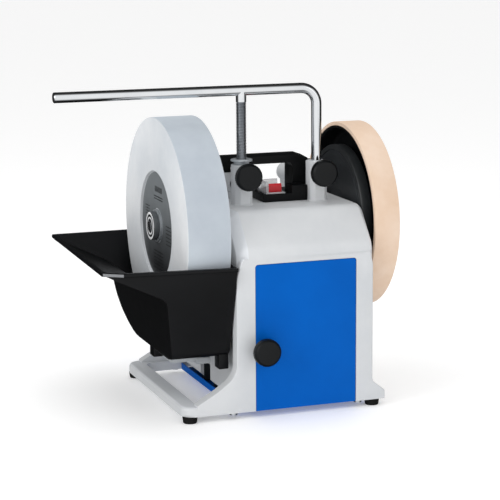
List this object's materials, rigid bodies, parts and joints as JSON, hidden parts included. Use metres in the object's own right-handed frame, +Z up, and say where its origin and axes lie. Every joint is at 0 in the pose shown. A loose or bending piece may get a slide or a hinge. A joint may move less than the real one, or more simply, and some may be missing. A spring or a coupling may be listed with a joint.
{
  "type": "wet grinding sharpener",
  "caption": "Bench sharpener with a large wet grinding wheel over a water trough, a leather honing wheel and a height-adjustable bar that guides the tool.",
  "frame": {"origin": "on the bench, at the centre of the machine's bounding box seen from above", "axes": "+X along the main shaft towards the honing wheel, +Y away from the user's side with the trough knob, +Z up"},
  "size_m": [0.401, 0.2992, 0.3677],
  "materials": {
    "cast_housing": "satin powder coat on cast metal",
    "blue_sheet": "satin powder coat",
    "black_plastic": "fine moulded texture",
    "glass_nylon": "natural nylon",
    "clear_plastic": "clear, slightly milky",
    "red_plastic": "glossy",
    "dark_plastic": "satin",
    "rubber": "matt",
    "screw_steel": "zinc plated",
    "spring_steel": "oiled",
    "chrome_bar": "polished",
    "stainless": "turned",
    "zinc": "die cast, satin",
    "grindstone": "fine grain, matt",
    "label_paper": "printed, matt",
    "leather": "undyed, smooth grain",
    "motor_steel": "thin enamel",
    "laminated_steel": "laminated sheet",
    "copper": "enamelled wire",
    "magnet": "ferrite"
  },
  "bodies": {
    "base": {"housing": "cast_housing", "body_sheet": "blue_sheet", "sheet_screws": "screw_steel", "rubber_feet": "rubber", "feet_screws": "screw_steel", "shaft_bush_left": "glass_nylon", "shaft_bush_right": "glass_nylon", "handle": "black_plastic", "handle_base": "black_plastic", "handle_screws": "screw_steel", "switch_body": "dark_plastic", "switch_bezel": "clear_plastic", "capacitor": "glass_nylon", "capacitor_clip": "screw_steel", "terminal_block": "glass_nylon", "cord_gland": "black_plastic", "pivot_pin": "spring_steel", "pivot_clips": "spring_steel", "torsion_spring": "spring_steel", "lift_guide": "dark_plastic", "lift_bush": "glass_nylon"},
    "support": {"tool_support": "chrome_bar"},
    "depth_nut": {"micro_nut": "zinc"},
    "front_lock_left": {"lock_knob_left": "black_plastic", "lock_screw_left": "zinc"},
    "front_lock_right": {"lock_knob_right": "black_plastic", "lock_screw_right": "zinc"},
    "rear_lock_left": {"rear_knob_left": "black_plastic", "rear_screw_left": "zinc"},
    "rear_lock_right": {"rear_knob_right": "black_plastic", "rear_screw_right": "zinc"},
    "lift_drive": {"lift_knob": "black_plastic", "lift_shaft": "screw_steel", "lift_pinion": "glass_nylon"},
    "water_trough": {"trough": "black_plastic", "trough_lugs": "black_plastic", "lift_carriage": "zinc", "trough_magnet": "magnet"},
    "wheel_shaft": {"main_shaft": "stainless", "grinding_stone": "grindstone", "stone_label": "label_paper", "inner_flange": "zinc", "outer_washer": "zinc", "drive_wheel": "dark_plastic", "drive_tyre": "rubber", "shaft_clips": "spring_steel", "honing_dish": "black_plastic", "honing_leather": "leather"},
    "clamping_nut": {"stone_nut": "stainless"},
    "honing_lock": {"honing_knob": "black_plastic"},
    "switch_rocker": {"rocker": "red_plastic"},
    "motor": {"motor_cradle": "zinc", "motor_can": "motor_steel", "motor_end_caps": "zinc", "stator": "laminated_steel", "windings": "copper", "motor_bearings": "stainless"},
    "rotor": {"rotor_core": "laminated_steel", "motor_spindle": "stainless", "cooling_fan": "black_plastic"}
  },
  "joints": [
    {"name": "support_slide", "type": "slide", "parent": "base", "child": "support", "axis": [0, 0, 1], "range_m": [0, 0.04]},
    {"name": "depth_nut_spin", "type": "hinge", "parent": "support", "child": "depth_nut", "pos_m": [0.0175, -0.04685, 0.28], "axis": [0, 0, 1], "continuous": true},
    {"name": "front_lock_left_turn", "type": "hinge", "parent": "base", "child": "front_lock_left", "pos_m": [0.0175, -0.06385, 0.265], "axis": [0, -1, 0], "range_deg": [0, 360]},
    {"name": "front_lock_right_turn", "type": "hinge", "parent": "base", "child": "front_lock_right", "pos_m": [0.1095, -0.06385, 0.265], "axis": [0, -1, 0], "range_deg": [0, 360]},
    {"name": "rear_lock_left_turn", "type": "hinge", "parent": "base", "child": "rear_lock_left", "pos_m": [0.0015, 0.04115, 0.251], "axis": [-1, 0, 0], "range_deg": [0, 360]},
    {"name": "rear_lock_right_turn", "type": "hinge", "parent": "base", "child": "rear_lock_right", "pos_m": [0.1265, 0.04115, 0.251], "axis": [1, 0, 0], "range_deg": [0, 360]},
    {"name": "trough_lift", "type": "slide", "parent": "base", "child": "water_trough", "axis": [0, 0, 1], "range_m": [-0.024, 0]},
    {"name": "lift_knob_turn", "type": "hinge", "parent": "base", "child": "lift_drive", "pos_m": [0.0125, -0.06385, 0.078], "axis": [0, 1, 0], "range_deg": [-172, 0]},
    {"name": "shaft_spin", "type": "hinge", "parent": "base", "child": "wheel_shaft", "pos_m": [0.0765, -0.00385, 0.205], "axis": [1, 0, 0], "continuous": true},
    {"name": "clamping_nut_turn", "type": "hinge", "parent": "wheel_shaft", "child": "clamping_nut", "pos_m": [-0.0755, -0.00385, 0.205], "axis": [-1, 0, 0], "range_deg": [0, 360]},
    {"name": "honing_lock_turn", "type": "hinge", "parent": "wheel_shaft", "child": "honing_lock", "pos_m": [0.1915, -0.00385, 0.205], "axis": [1, 0, 0], "range_deg": [0, 360]},
    {"name": "rocker_tilt", "type": "hinge", "parent": "base", "child": "switch_rocker", "pos_m": [0.0605, -0.03185, 0.237], "axis": [1, 0, 0], "range_deg": [0, 16]},
    {"name": "motor_swing", "type": "hinge", "parent": "base", "child": "motor", "pos_m": [0.0765, 0.07115, 0.1167], "axis": [1, 0, 0], "range_deg": [0, 2.5], "stiffness_Nm_per_rad": 30, "springref_deg": -14.32},
    {"name": "rotor_spin", "type": "hinge", "parent": "motor", "child": "rotor", "pos_m": [0.0765, -0.00385, 0.1167], "axis": [1, 0, 0], "continuous": true}
  ],
  "couplings": [
    {"joint": "lift_knob_turn", "follows": "trough_lift", "rad_per_m": 125},
    {"joint": "rotor_spin", "follows": "shaft_spin", "ratio": -16.6}
  ]
}
